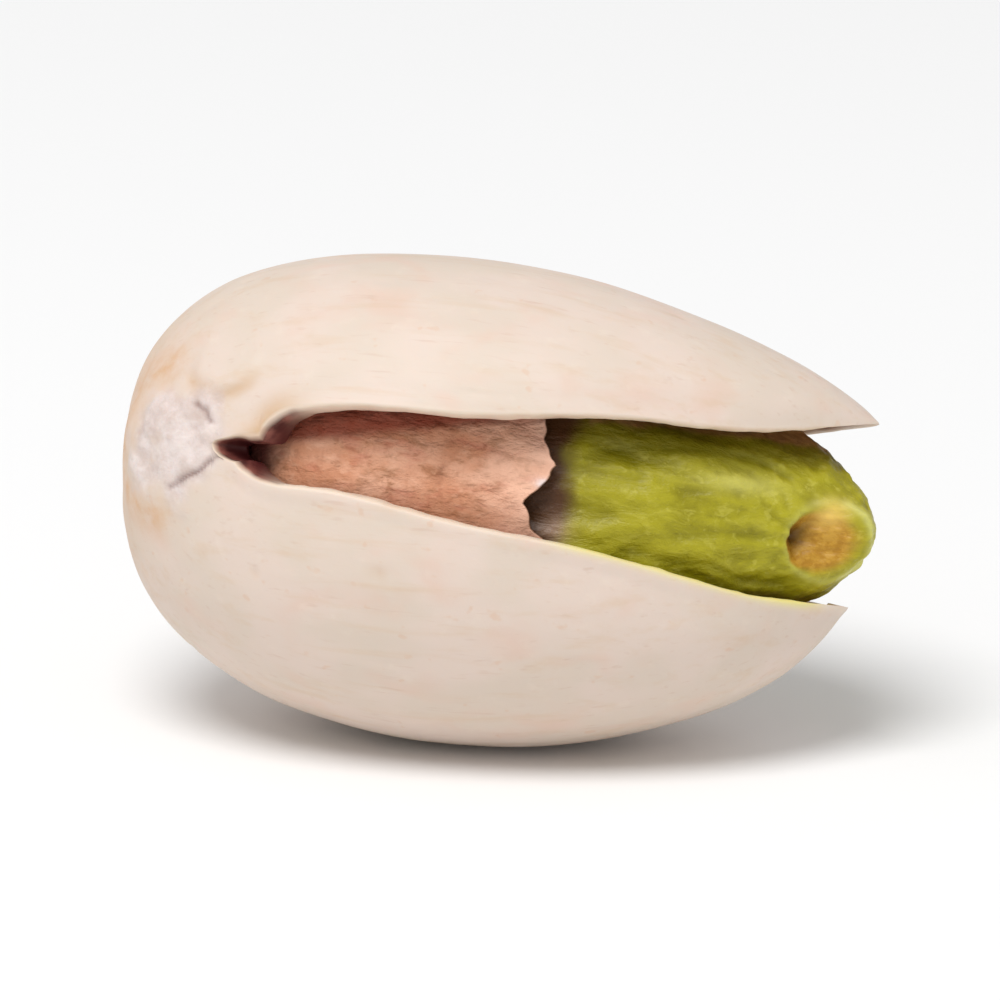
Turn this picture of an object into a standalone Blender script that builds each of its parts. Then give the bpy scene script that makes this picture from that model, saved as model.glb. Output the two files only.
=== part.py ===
"""A roasted pistachio in its open shell, lying on one half with the split facing forward and a little up.

Three pieces: the hard shell, whose two halves are still one at the stem end; the green kernel; and the
papery brown skin that wraps the kernel's stem end and ends in a torn edge.

The nut's own axes, before it is laid down: x from the stem end to the tips, y across the two seams with
the near seam at -y, z through the two halves. Sizes are in millimetres until a mesh is made.
"""

import math

import bmesh
import bpy
import numpy as np
from mathutils import Matrix, Vector

MM = 0.001

# The shell, outside
SHELL_LENGTH = 20.6
LOWER_TIP_BACK = 0.32
NEAR_HALF_WIDTH = 5.7
FAR_HALF_WIDTH = 6.3
UPPER_HEIGHT = 5.2
LOWER_HEIGHT = 6.33

# How blunt each outline is at the stem end and at the tip: 0.5 is round, 1 is pointed
NEAR_BLUNT = (0.44, 0.67)
FAR_BLUNT = (0.44, 0.66)
UPPER_BLUNT = (0.36, 0.82)
LOWER_BLUNT = (0.36, 0.64)

# The lower half's back ends in a straight slant up to its tip, with a rounded corner where it starts
LOWER_TIP_SLOPE = 1.8
LOWER_TIP_CORNER = 6

# The wall
WALL = 0.9
STEM_WALL = 1.5
TIP_WALL = 0.55

# How far each half has sprung from the middle, and the two splits that this leaves
SPRING_SLOPE = 0.128
SPRING_SOFTNESS = 1.0
NEAR_CRACK_START = 2.7
NEAR_CRACK_HALF_GAP = 0.33
CRACK_END_LENGTH = 0.6
NEAR_SPLIT_START = 4.0
LOWER_SPLIT_EARLIER = 0.7
FAR_SPLIT_START = 7.0
SPLIT_END_LENGTH = 1.3
EDGE_HOLLOW_END = 17.0
UPPER_EDGE_HOLLOW = 0.18
LOWER_EDGE_HOLLOW = 0.89
UPPER_EDGE_WAVES = (0.27, 0.14)
LOWER_EDGE_WAVES = (-0.24, -0.12)

# The scar where the nut was joined to its stem
SCAR_CENTRE = (1.5, -3.3, 0.0)
SCAR_OUTWARD = (-0.62, -0.78, 0.0)
SCAR_REACH = 3.0
SCAR_RISE = 0.22
SCAR_LUMP = 0.10
SCAR_LUMP_WAVES = (3.1, 2.2, 2.6)

# The kernel: its spine starts inside the stem end, runs straight, then turns to the near side
KERNEL_START = (2.7, 0.1, -0.45)
KERNEL_LENGTH = 18.4
KERNEL_HALF_WIDTH = 4.0
KERNEL_HALF_HEIGHT = 3.95
KERNEL_SIDE_BLUNT = (0.5, 0.70)
KERNEL_HEIGHT_BLUNT = (0.5, 0.6)
KERNEL_RISE = 0.25
KERNEL_SAG = 0.3
KERNEL_TURN = 28.0
KERNEL_TURN_LENGTH = 4.5
KERNEL_FURROW = 0.05
KERNEL_FURROW_WAVES = (3, 5)
PIT_CENTRE = (19.7, -1.6, -0.8)
PIT_RADIUS = 1.0
PIT_DEPTH = 0.75
PIT_STEEPNESS = 1.6
PIT_TURN = 60.0

# The papery skin
SKIN_CLEARANCE = 0.28
SKIN_THICKNESS = 0.24
SKIN_SHARE = 0.555
SKIN_TEAR = 0.015
SKIN_TEAR_WAVES = (3, 8, 13)

# How the nut lies
ROLL = 21.0
TIP_DOWN = 2.0
REST_DEPTH = 0.16

# Mesh fineness
STEM_ROWS = 7
CRACK_ROWS = 3
SLOT_ROWS = 8
TIP_ROWS = 15
HALF_COLUMNS = 20
KERNEL_ROWS = 46
KERNEL_COLUMNS = 40
SPINE_STEPS = 40
SKIN_ROWS = 16
SKIN_COLUMNS = 32


def ease(share):
    """A smooth step from 0 to 1."""
    share = np.clip(share, 0.0, 1.0)
    return share * share * (3.0 - 2.0 * share)


def swell(along, blunt):
    """The share of the greatest width at a share of the length: nothing at either end."""
    start, end = blunt
    widest = start / (start + end)
    along = np.clip(along, 0.0, 1.0)
    return (along / widest) ** start * ((1.0 - along) / (1.0 - widest)) ** end


def slant_tip(height, from_tip):
    """Cuts a height down to the straight slant at the lower half's tip, with a rounded corner."""
    slant = np.maximum(LOWER_TIP_SLOPE * from_tip, 1e-6)
    power = LOWER_TIP_CORNER
    return (np.maximum(height, 1e-6) ** -power + slant ** -power) ** (-1.0 / power)


def spring(x):
    """How far a half has moved from the middle at this distance from the stem end."""
    return SPRING_SLOPE * x * x / (x + SPRING_SOFTNESS)


def round_end(x, start, length=SPLIT_END_LENGTH):
    """Rises from 0 at the start of a split to 1, as the round end of a slot does."""
    share = np.clip((x - start) / length, 0.0, 1.0)
    return np.sqrt(1.0 - (1.0 - share) ** 2)


def edge_hollow(x, side):
    """How much a near edge is drawn back beyond what the opening explains: most at the stem end, and then
    in long waves."""
    hollow, waves = (UPPER_EDGE_HOLLOW, UPPER_EDGE_WAVES) if side > 0 else (LOWER_EDGE_HOLLOW, LOWER_EDGE_WAVES)
    along = np.clip((x - NEAR_SPLIT_START) / (SHELL_LENGTH - NEAR_SPLIT_START), 0.0, 1.0)
    once, twice = (height * np.sin(2.0 * math.pi * count * along) for count, height in enumerate(waves, 1))
    return hollow * np.clip(1.0 - x / EDGE_HOLLOW_END, 0.0, 1.0) + once + twice


def near_gap(x, side):
    """How far a near edge is from the middle: a fine crack at first, then the round end of the opening."""
    crack = NEAR_CRACK_HALF_GAP * round_end(x, NEAR_CRACK_START, CRACK_END_LENGTH)
    start = NEAR_SPLIT_START if side > 0 else NEAR_SPLIT_START - LOWER_SPLIT_EARLIER
    return np.maximum(crack, round_end(x, start) * (spring(x) + edge_hollow(x, side)))


def far_gap(x):
    """How far a far edge is from the middle."""
    return round_end(x, FAR_SPLIT_START) * spring(x)


def row_positions():
    """Distances from the stem end, dense at both ends and where the near split opens, with a row at the
    start of each split."""
    stem = NEAR_CRACK_START * (1.0 - np.cos(np.linspace(0.0, math.pi / 2, STEM_ROWS + 1)))
    crack = np.linspace(NEAR_CRACK_START, NEAR_SPLIT_START, CRACK_ROWS + 1)
    both_joined = FAR_SPLIT_START - NEAR_SPLIT_START
    slot = NEAR_SPLIT_START + both_joined * np.linspace(0.0, 1.0, SLOT_ROWS + 1) ** 2
    both_open = SHELL_LENGTH - FAR_SPLIT_START
    tip = FAR_SPLIT_START + both_open * np.sin(np.linspace(0.0, math.pi / 2, TIP_ROWS + 1))
    return np.concatenate([stem, crack[1:], slot[1:], tip[1:]])


def half_surface(side, inset):
    """Points of one half's outer surface, or of its inner one if inset, as rows from the stem end and
    columns from the near edge over the back to the far edge. side is 1 above and -1 below."""
    rows = row_positions()
    height = UPPER_HEIGHT if side > 0 else LOWER_HEIGHT
    blunt = UPPER_BLUNT if side > 0 else LOWER_BLUNT
    wall = WALL if inset else 0.0
    along = rows / SHELL_LENGTH
    x = rows + STEM_WALL * (1.0 - along) ** 3 - TIP_WALL * along ** 3 if inset else rows
    moved = spring(x)
    height = np.maximum((height - wall) * swell(along, blunt), 1e-6)
    if side < 0:
        height = slant_tip(height, SHELL_LENGTH - rows)
    near_width = (NEAR_HALF_WIDTH - wall) * swell(along, NEAR_BLUNT)
    far_width = (FAR_HALF_WIDTH - wall) * swell(along, FAR_BLUNT)
    near_angle = np.arcsin(np.clip((near_gap(rows, side) - moved) / height, -0.9, 0.9))
    far_angle = math.pi - np.arcsin(np.clip((far_gap(rows) - moved) / height, -0.9, 0.9))
    across = np.linspace(0.0, 1.0, HALF_COLUMNS + 1)
    angle = near_angle[:, None] + (far_angle - near_angle)[:, None] * across
    width = np.where(np.cos(angle) > 0.0, near_width[:, None], far_width[:, None])
    points = np.empty(angle.shape + (3,))
    points[..., 0] = x[:, None]
    points[..., 1] = -width * np.cos(angle)
    points[..., 2] = side * (moved[:, None] + height[:, None] * np.sin(angle))
    points[[0, -1], :, 2] = side * moved[[0, -1], None]
    if side < 0:
        towards_tip = ease((x - FAR_SPLIT_START) / (SHELL_LENGTH - FAR_SPLIT_START))
        points[..., 0] -= LOWER_TIP_BACK * towards_tip[:, None]
    return points


def raise_scar(points):
    """Lifts the outer surface round the stem scar into a low, lumpy knob."""
    distance = np.linalg.norm(points - np.array(SCAR_CENTRE), axis=-1)
    share = ease(1.0 - distance / SCAR_REACH)
    lumps = np.sin(points * np.array(SCAR_LUMP_WAVES)).prod(axis=-1)
    rise = share * (SCAR_RISE + SCAR_LUMP * lumps)
    return points + np.array(SCAR_OUTWARD) * rise[..., None]


def join_seams(upper, lower):
    """Gives the two halves one line of points where their edges still meet."""
    rows = row_positions()
    for column, start in ((0, NEAR_CRACK_START), (-1, FAR_SPLIT_START)):
        joined = rows <= start + 1e-9
        middle = (upper[joined, column] + lower[joined, column]) / 2
        middle[:, 2] = 0.0
        upper[joined, column] = middle
        lower[joined, column] = middle


def add_grid(bm, points, flip=False):
    """Adds a grid of quads through the points."""
    verts = [[bm.verts.new(point * MM) for point in row] for row in points]
    for first, second in zip(verts, verts[1:]):
        for a, b, c, d in zip(first, first[1:], second[1:], second):
            bm.faces.new((a, d, c, b) if flip else (a, b, c, d))


def add_edge_strip(bm, outer, inner, column, start, flip):
    """Closes the shell's edge between its outer and inner surfaces, from a split's start to the tip."""
    first = int(np.searchsorted(row_positions(), start - 1e-9))
    add_grid(bm, np.stack([outer[first:, column], inner[first:, column]]), flip)


def finish_mesh(bm, name):
    """Welds the seams of a mesh under construction and turns all its faces outwards."""
    bmesh.ops.remove_doubles(bm, verts=bm.verts, dist=1e-6)
    bmesh.ops.recalc_face_normals(bm, faces=bm.faces)
    mesh = bpy.data.meshes.new(name)
    bm.to_mesh(mesh)
    bm.free()
    mesh.shade_smooth()
    mesh.set_sharp_from_angle(angle=math.radians(50))
    return mesh


def shell_surfaces():
    """The four surfaces of the shell: outer and inner, upper and lower."""
    found = {}
    for inset in (False, True):
        upper = half_surface(1, inset)
        lower = half_surface(-1, inset)
        if not inset:
            upper = raise_scar(upper)
            lower = raise_scar(lower)
        join_seams(upper, lower)
        found[inset] = (upper, lower)
    return found


def lying_rotation():
    """Turns the nut from its own axes to how it lies."""
    return Matrix.Rotation(math.radians(TIP_DOWN), 3, "Y") @ Matrix.Rotation(math.radians(-ROLL), 3, "X")


def cut_resting_spot(bm):
    """Planes a small flat spot on the lowest part of the shell, as it lies."""
    down = lying_rotation().transposed() @ Vector((0.0, 0.0, -1.0))
    lowest = max(bm.verts, key=lambda vert: vert.co.dot(down))
    plane = lowest.co - down * REST_DEPTH * MM
    geometry = bm.verts[:] + bm.edges[:] + bm.faces[:]
    cut = bmesh.ops.bisect_plane(bm, geom=geometry, plane_co=plane, plane_no=down, clear_outer=True)
    rim = [item for item in cut["geom_cut"] if isinstance(item, bmesh.types.BMEdge)]
    bmesh.ops.contextual_create(bm, geom=rim)


def make_shell():
    """The hard shell: two sprung halves, hollow, joined round the stem end."""
    surfaces = shell_surfaces()
    bm = bmesh.new()
    for half in (0, 1):
        outer, inner = surfaces[False][half], surfaces[True][half]
        add_grid(bm, outer)
        add_grid(bm, inner, flip=True)
        add_edge_strip(bm, outer, inner, 0, NEAR_CRACK_START, False)
        add_edge_strip(bm, outer, inner, -1, FAR_SPLIT_START, True)
    bmesh.ops.remove_doubles(bm, verts=bm.verts, dist=1e-6)
    cut_resting_spot(bm)
    return finish_mesh(bm, "shell")


def kernel_spine(distance):
    """Where the kernel's middle line is at a distance along it, and which way it heads there."""
    turn_start = KERNEL_LENGTH - KERNEL_TURN_LENGTH
    turn = math.radians(KERNEL_TURN)
    steps = (np.arange(SPINE_STEPS) + 0.5) / SPINE_STEPS
    turned = turn * ease((distance[..., None] * steps - turn_start) / KERNEL_TURN_LENGTH)
    x = distance * np.cos(turned).mean(axis=-1)
    y = -distance * np.sin(turned).mean(axis=-1)
    near_end = ease((distance - turn_start) / KERNEL_TURN_LENGTH)
    z = KERNEL_RISE * distance / KERNEL_LENGTH - KERNEL_SAG * near_end
    place = np.array(KERNEL_START) + np.stack([x, y, z], axis=-1)
    return place, turn * near_end


def furrows(share, angle):
    """Long shallow ridges and grooves of the kernel, as a share of its radius."""
    depth = KERNEL_FURROW * np.sin(math.pi * np.clip(share, 0.0, 1.0))
    broad, fine = KERNEL_FURROW_WAVES
    ridges = np.cos(broad * angle + 2.0 * share) + 0.6 * np.cos(fine * angle - 3.0 * share + 1.0)
    return 1.0 + depth * ridges


def kernel_surface(share, angle, grow):
    """Points at a share of the kernel's length and an angle round it, moved outwards by grow."""
    distance = share * (KERNEL_LENGTH + grow) - grow
    place, heading = kernel_spine(distance)
    ridges = furrows(share, angle)
    sideways = (KERNEL_HALF_WIDTH + grow) * swell(share, KERNEL_SIDE_BLUNT) * ridges * np.cos(angle)
    upwards = (KERNEL_HALF_HEIGHT + grow) * swell(share, KERNEL_HEIGHT_BLUNT) * ridges * np.sin(angle)
    offset = np.stack([sideways * np.sin(heading), sideways * np.cos(heading), upwards], axis=-1)
    return place + offset


def full_turn(columns):
    """Angles round a closed ring, ending where they start."""
    return np.linspace(0.0, 2.0 * math.pi, columns + 1)


def press_pit(points):
    """Presses the small round pit into the kernel, on the near side of its blunt tip."""
    turn = math.radians(PIT_TURN)
    inwards = np.array([-math.cos(turn), math.sin(turn), 0.0])
    distance = np.linalg.norm(points - np.array(PIT_CENTRE), axis=-1)
    share = ease(PIT_STEEPNESS * (1.0 - distance / PIT_RADIUS))
    return points + inwards * (PIT_DEPTH * share)[..., None]


def make_kernel():
    """The kernel: a furrowed body with a blunt tip that has a round pit beside it."""
    angle = full_turn(KERNEL_COLUMNS)
    share = (1.0 - np.cos(np.linspace(0.0, math.pi, KERNEL_ROWS + 1))) / 2.0
    points = kernel_surface(*np.broadcast_arrays(share[:, None], angle), 0.0)
    bm = bmesh.new()
    add_grid(bm, press_pit(points))
    return finish_mesh(bm, "kernel")


def torn_share(angle):
    """Where the skin ends, as a share of the kernel's length: a ragged line round it."""
    return SKIN_SHARE + SKIN_TEAR * sum(np.sin(wave * (angle + 1.0)) for wave in SKIN_TEAR_WAVES)


def make_skin():
    """The papery skin: a thin cup round the kernel's stem end, clear of it."""
    angle = full_turn(SKIN_COLUMNS)
    rows = (1.0 - np.cos(np.linspace(0.0, math.pi / 2, SKIN_ROWS + 1)))[:, None]
    share = rows * torn_share(angle)
    angles = np.broadcast_to(angle, share.shape)
    inner = kernel_surface(share, angles, SKIN_CLEARANCE)
    outer = kernel_surface(share, angles, SKIN_CLEARANCE + SKIN_THICKNESS)
    bm = bmesh.new()
    add_grid(bm, outer)
    add_grid(bm, inner, flip=True)
    add_grid(bm, np.stack([outer[-1], inner[-1]]))
    return finish_mesh(bm, "skin")


def finish_of(name, colour, roughness):
    """A plain material of one colour."""
    material = bpy.data.materials.new(name)
    material.use_nodes = True
    shader = material.node_tree.nodes["Principled BSDF"]
    shader.inputs["Base Color"].default_value = (*colour, 1.0)
    shader.inputs["Roughness"].default_value = roughness
    shader.inputs["Metallic"].default_value = 0.0
    return material


def lay_down(pieces):
    """Parents the pieces to one empty, turned as the nut lies, with its lowest point on the ground and
    the middle of its outline over the origin."""
    turn = lying_rotation()
    corners = np.array([turn @ vert.co for piece in pieces for vert in piece.data.vertices])
    low, high = corners.min(axis=0), corners.max(axis=0)
    pose = bpy.data.objects.new("nut_pose", None)
    pose.location = (-(low[0] + high[0]) / 2, -(low[1] + high[1]) / 2, -low[2])
    pose.rotation_euler = turn.to_euler()
    bpy.context.collection.objects.link(pose)
    for piece in pieces:
        piece.parent = pose


def main():
    for obj in list(bpy.data.objects):
        bpy.data.objects.remove(obj)
    finishes = {
        "shell": finish_of("shell_cream", (0.80, 0.67, 0.53), 0.55),
        "kernel": finish_of("kernel_green", (0.38, 0.37, 0.05), 0.5),
        "seed_skin": finish_of("skin_brown", (0.50, 0.25, 0.16), 0.8),
    }
    meshes = {"shell": make_shell(), "kernel": make_kernel(), "seed_skin": make_skin()}
    pieces = []
    for name, mesh in meshes.items():
        mesh.materials.append(finishes[name])
        piece = bpy.data.objects.new(name, mesh)
        bpy.context.collection.objects.link(piece)
        pieces.append(piece)
    lay_down(pieces)


main()
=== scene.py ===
"""The looks of a roasted pistachio in its open shell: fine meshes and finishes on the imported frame.

The nut's own axes are the ones that it has before it is laid down: x from the stem end to the tips, y across
the two seams with the near seam at -y, z through the two halves. Shapes are worked out there, in
millimetres, and one pose lays all their points down where the frame has the nut.
"""

import math

import bpy
import numpy as np
from mathutils import Matrix, Vector


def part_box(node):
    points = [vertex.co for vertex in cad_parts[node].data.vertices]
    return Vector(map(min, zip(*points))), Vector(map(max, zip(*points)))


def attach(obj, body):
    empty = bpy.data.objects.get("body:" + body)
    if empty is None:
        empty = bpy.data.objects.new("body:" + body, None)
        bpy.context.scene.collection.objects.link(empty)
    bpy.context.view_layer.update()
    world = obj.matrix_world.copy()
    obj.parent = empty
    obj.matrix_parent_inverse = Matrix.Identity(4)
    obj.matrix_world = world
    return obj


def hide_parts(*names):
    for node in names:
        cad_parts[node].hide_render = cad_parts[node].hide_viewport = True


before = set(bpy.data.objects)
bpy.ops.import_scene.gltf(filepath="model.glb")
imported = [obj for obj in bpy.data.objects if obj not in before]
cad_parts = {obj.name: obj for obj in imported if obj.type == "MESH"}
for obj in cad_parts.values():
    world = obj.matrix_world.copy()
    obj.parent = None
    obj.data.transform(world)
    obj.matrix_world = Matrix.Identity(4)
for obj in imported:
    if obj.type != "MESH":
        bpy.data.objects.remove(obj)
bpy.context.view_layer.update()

MM = 0.001

# The shell, outside and wall, as in the frame's solids
SHELL_LENGTH = 20.6
LOWER_TIP_BACK = 0.32
NEAR_HALF_WIDTH = 5.7
FAR_HALF_WIDTH = 6.3
UPPER_HEIGHT = 5.2
LOWER_HEIGHT = 6.33
NEAR_BLUNT = (0.44, 0.67)
FAR_BLUNT = (0.44, 0.66)
UPPER_BLUNT = (0.36, 0.82)
LOWER_BLUNT = (0.36, 0.64)
LOWER_TIP_SLOPE = 1.8
LOWER_TIP_CORNER = 6
WALL = 0.9
STEM_WALL = 1.5
TIP_WALL = 0.55

# The two splits. Pairs are for the upper half and the lower one. The near split starts as a narrow crack,
# which is finer here than in the frame's solids, and so are its round ends.
SPRING_SLOPE = 0.128
SPRING_SOFTNESS = 1.0
NEAR_CRACK_START = 3.3
NEAR_CRACK_HALF_GAPS = (0.14, 0.38)
CRACK_END_LENGTH = 0.6
NEAR_SPLIT_STARTS = (4.62, 3.9)
NEAR_SPLIT_END_LENGTHS = (1.0, 2.0)
EDGE_WAVES_START = 4.0
FAR_SPLIT_START = 7.0
FAR_SPLIT_END_LENGTH = 1.3
EDGE_SINE_LIMIT = 0.9
EDGE_HOLLOW_END = 17.0
UPPER_EDGE_HOLLOW = 0.18
LOWER_EDGE_HOLLOW = 0.89
UPPER_EDGE_WAVES = (0.27, 0.14)
LOWER_EDGE_WAVES = (-0.24, -0.12)

# The raised stem scar
SCAR_CENTRE = (1.5, -3.3, 0.0)
SCAR_OUTWARD = (-0.62, -0.78, 0.0)
SCAR_REACH = 3.0
SCAR_RISE = 0.22
SCAR_LUMP = 0.10
SCAR_LUMP_WAVES = (3.1, 2.2, 2.6)

# The kernel and its skin, as in the frame's solids
KERNEL_START = (2.7, 0.1, -0.45)
KERNEL_LENGTH = 18.4
KERNEL_HALF_WIDTH = 4.0
KERNEL_HALF_HEIGHT = 3.95
KERNEL_SIDE_BLUNT = (0.5, 0.70)
KERNEL_HEIGHT_BLUNT = (0.5, 0.6)
KERNEL_RISE = 0.25
KERNEL_SAG = 0.3
KERNEL_TURN = 28.0
KERNEL_TURN_LENGTH = 4.5
KERNEL_FURROW = 0.05
KERNEL_FURROW_WAVES = (3, 5)
SPINE_STEPS = 40
SKIN_CLEARANCE = 0.28
SKIN_THICKNESS = 0.24

# How the nut lies
ROLL = 21.0
TIP_DOWN = 2.0

# The shell's surface: the rough scar and the ochre ring round it, the lobe that overhangs it, the cracks and
# the dimples. Distances from the scar's and the lobe's centres count for less along x and y, because that
# side of the nut is seen at a slant.
SLANT = (0.85, 0.85, 1.0)
ROUGH_CENTRE = (2.35, -3.95, 0.05)
ROUGH_RADIUS = 1.75
ROUGH_DEPTH = 0.08
ROUGH_GRAIN = 0.035
ROUGH_SUNK = 0.03
RING_SHARE = 1.32
RING_WIDTH = 0.42
STEM_REACH = 5.8
STEM_FADE = 4.4
LOBE_CENTRE = (3.4, -4.3, 2.45)
LOBE_RADIUS = 1.1
LOBE_RISE = 0.10
CRACK_PATHS = (
    ((3.7, -4.75, -0.3), (3.35, -4.7, -0.42), (3.07, -4.66, -0.68), (2.6, -4.4, -0.97), (2.07, -4.0, -1.31)),
    ((2.6, -4.4, 1.1), (2.9, -4.5, 0.92), (3.15, -4.6, 0.62)),
)
CRACK_WIDTH = 0.085
CRACK_DEPTH = 0.10
CRACK_SHAKE = 0.06
DIMPLES = ((4.82, -4.53, -3.32), (2.14, -3.67, -1.87), (5.6, -4.9, 3.4), (8.3, -5.3, -3.1), (13.2, -4.9, 3.2))
DIMPLE_RADIUS = 0.17
DIMPLE_DEPTH = 0.05
UNEVEN_DEPTH = 0.10
BUMP_DEPTH = 0.022
RIB_DEPTH = 0.018
PORE_DEPTH = 0.02

# The shell's edges: how round they are, how ragged, and the rounded lip where the wide split ends
EDGE_ROUND = 0.13
EDGE_ROUND_START = 0.8
EDGE_ROUND_END = 2.0
EDGE_FLAT = 0.5
EDGE_RAGGED = 0.035
LIP_PLACE = 4.9
LIP_LENGTH = 0.8
LIP_WIDTH = 0.95
LIP_ROUND = 0.14

# Where light and shade are painted on the shell's edges: painted shade darkens the crack's walls, as far as
# these x on
# # the upper and lower half, and a painted highlight makes the rims pale. The lower one gets painted yellow
# light,
# # reflected from the kernel, between two x.
SHADED_WALL_ENDS = (6.4, 5.8)
PALE_WIDTH = 0.18
GLOW_FROM = 12.4
GLOW_TO = 20.0

# The kernel's surface
WRINKLE_DEPTH = 0.07
FINE_WRINKLE_DEPTH = 0.035
PIMPLE_DEPTH = 0.022
CREASE_PATHS = (
    ((14.1, -3.4, -1.4), (15.5, -3.1, -1.3), (16.8, -2.7, -1.15), (18.2, -2.0, -0.95)),
    ((14.4, -3.2, -1.75), (15.6, -2.9, -2.0), (17.1, -2.3, -1.95), (17.7, -1.9, -2.1), (18.9, -1.3, -2.2)),
    ((15.9, -3.0, 0.1), (17.2, -2.5, 0.0), (18.3, -2.0, -0.25)),
    ((13.6, -3.3, 0.9), (15.2, -3.0, 1.15), (17.0, -2.2, 1.1), (18.6, -1.5, 0.8)),
)
CREASE_WIDTH = 0.13
CREASE_DEPTH = 0.08
PIT_CENTRE = (19.92, -1.4, -0.92)
PIT_RADIUS = 1.08
PIT_OFFSET = (0.62, -0.1)
PIT_DEPTH = 0.75
PIT_TURN = 42.0
PIT_RIM_ROUND = 0.2
PIT_EDGE_UNEVEN = 0.05
FILM_EDGE = ((13.4, 1.55), (15.5, 1.6), (17.15, 1.6), (18.66, 1.68), (19.49, 1.5), (20.11, 1.1), (20.6, 0.5))
FILM_RISE = 0.04
FILM_FROM = 13.25
BARE_FROM = 12.95
SHADED_ABOVE = 0.75

# Soft spots of colour, the kernel's pale spot and the pit's bright spot being painted highlights: each one's
# # centre, and its reach along each axis
KERNEL_BEIGE_SPOT = ((12.75, -3.6, -1.4), (0.4, 1.5, 0.35))
KERNEL_HIGHLIGHT_SPOT = ((17.4, -2.3, 0.42), (1.1, 1.5, 0.28))
PIT_HIGHLIGHT_SPOT = ((19.9, -1.5, -0.08), (0.4, 1.0, 0.38))
SKIN_FLAKE_SPOT = ((12.35, -4.2, -0.2), (0.2, 1.5, 0.12))

# The skin's torn edge on the near side, as height and distance from the stem end
TORN_EDGE = ((-2.2, 13.5), (-1.78, 13.2), (-1.5, 12.65), (-0.85, 12.5), (-0.3, 13.0), (0.16, 13.17),
             (0.5, 12.92), (0.8, 12.68), (1.26, 12.7), (2.0, 12.5))
TORN_REST = 12.6
TORN_WANDER = 0.5
TORN_FRAY = 0.10
SKIN_LIFT = 0.2
SKIN_PLUMP = 0.7
SKIN_PLUMP_PLACE = 3.6
SKIN_PLUMP_LENGTH = 2.6
SKIN_EDGE_LENGTH = 1.3
SKIN_EDGE_THINNING = 0.75
SKIN_FOLD_DEPTH = 0.05
SKIN_TUFT_DEPTH = 0.022
SKIN_FIBRE_DEPTH = 0.008
SKIN_CRACK = ((9.72, -4.05, 0.3), (9.66, -4.05, 0.0), (9.55, -4.05, -0.3))
SKIN_CRACK_WIDTH = 0.08
SKIN_CRACK_DEPTH = 0.08

# Where the skin's colour changes: pale along its torn edge; painted shade above and below two lines that rise
# # and fall along x, under the upper rim and towards the lower one; and painted dark red shade before its
# start in
# # the opening
SKIN_PALE_BAND = 2.4
SKIN_UPPER_LINE = (-0.95, 0.19)
SKIN_LOWER_LINE = (0.05, -0.06)
SKIN_SHADED_BEFORE = 5.1

# Mesh fineness, and how much closer the rows and columns are where the near split opens
STEM_ROWS = 56
CRACK_ROWS = 24
SLOT_ROWS = 36
TIP_ROWS = 76
OUTER_COLUMNS = 158
INNER_COLUMNS = 42
RIM_COLUMNS = 10
KERNEL_ROWS = 230
KERNEL_COLUMNS = 190
SKIN_ROWS = 120
SKIN_INNER_ROWS = 30
SKIN_COLUMNS = 290
SLOT_CROWDING = 1.6
COLUMN_CROWDING = 1.35
SPLIT_STATIONS = 70
WELD = 1e-4

# The kinds of surface that a piece's points lie on
OUTER, INNER, RIM = 0, 1, 2

# The view: the photograph's angle, and the frame's width where the nut is
AZIMUTH = 12.0
ELEVATION = 17.0
LENS = 640.0
SENSOR = 36.0
CLIP_START = 0.01
FRAME_WIDTH = 27.3

# The studio, in metres and watts
SURROUNDINGS = 0.55
LAMP_SIZE = 0.25
LAMP_POWER = 1.47
LAMP_PLACE = (-0.05, -0.20, 0.41)
FLOOR_HALF = 1.5
FLOOR_DROP = 0.02 * MM


def ease(share):
    """A smooth step from 0 to 1."""
    share = np.clip(share, 0.0, 1.0)
    return share * share * (3.0 - 2.0 * share)


def lattice_value(cells, seed):
    """A value from -1 to 1 for each whole-numbered cell, the same each time for the same seed."""
    mixed = cells @ np.array([374761393, 668265263, 1103515245]) + seed * 144664883
    mixed = (mixed ^ (mixed >> 13)) * 1274126177
    mixed = mixed ^ (mixed >> 16)
    return (mixed & 0xFFFF) / 32767.5 - 1.0


def noise(points, size, seed, layers=1):
    """Smooth noise from about -1 to 1 with lumps of a size, or of a size along each axis. Each further
    layer is half as large and half as strong."""
    total = np.zeros(points.shape[:-1])
    strength = 1.0
    scaled = points / np.array(size)
    for layer in range(layers):
        cell = np.floor(scaled).astype(np.int64)
        inside = ease(scaled - cell)
        for corner in np.ndindex(2, 2, 2):
            nearness = np.where(corner, inside, 1.0 - inside).prod(axis=-1)
            total += strength * nearness * lattice_value(cell + np.array(corner), seed + layer)
        strength *= 0.5
        scaled = scaled * 2.0 + 17.3
    return total


def distance_to_path(points, path):
    """How far each point is from a line through the path's points."""
    nearest = np.full(points.shape[:-1], np.inf)
    for start, end in zip(np.array(path), np.array(path)[1:]):
        run = end - start
        share = np.clip((points - start) @ run / (run @ run), 0.0, 1.0)
        nearest = np.minimum(nearest, np.linalg.norm(points - start - share[..., None] * run, axis=-1))
    return nearest


def bend(points, reach, size, seed):
    """The points, each shaken by up to about a reach along each axis."""
    return points + reach * np.stack([noise(points, size, seed + axis) for axis in range(3)], axis=-1)


def lines(points, paths, width, depth_share):
    """Soft lines: 1 on the paths, fading over a width. Distances along y count for a share alone, so that a
    path a little over or under the surface still shows on it."""
    flatten = np.array((1.0, depth_share, 1.0))
    found = np.zeros(len(points))
    for path in paths:
        away = distance_to_path(points * flatten, np.array(path) * flatten)
        found = np.maximum(found, np.exp(-(away / width) ** 2))
    return found


def spot(points, place):
    """A soft spot: 1 at its centre, fading over its reach."""
    centre, reach = place
    return np.exp(-np.linalg.norm((points - np.array(centre)) / np.array(reach), axis=-1) ** 2)


def swell(along, blunt):
    """The share of the greatest width at a share of the length: nothing at either end."""
    start, end = blunt
    widest = start / (start + end)
    along = np.clip(along, 0.0, 1.0)
    return (along / widest) ** start * ((1.0 - along) / (1.0 - widest)) ** end


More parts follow.
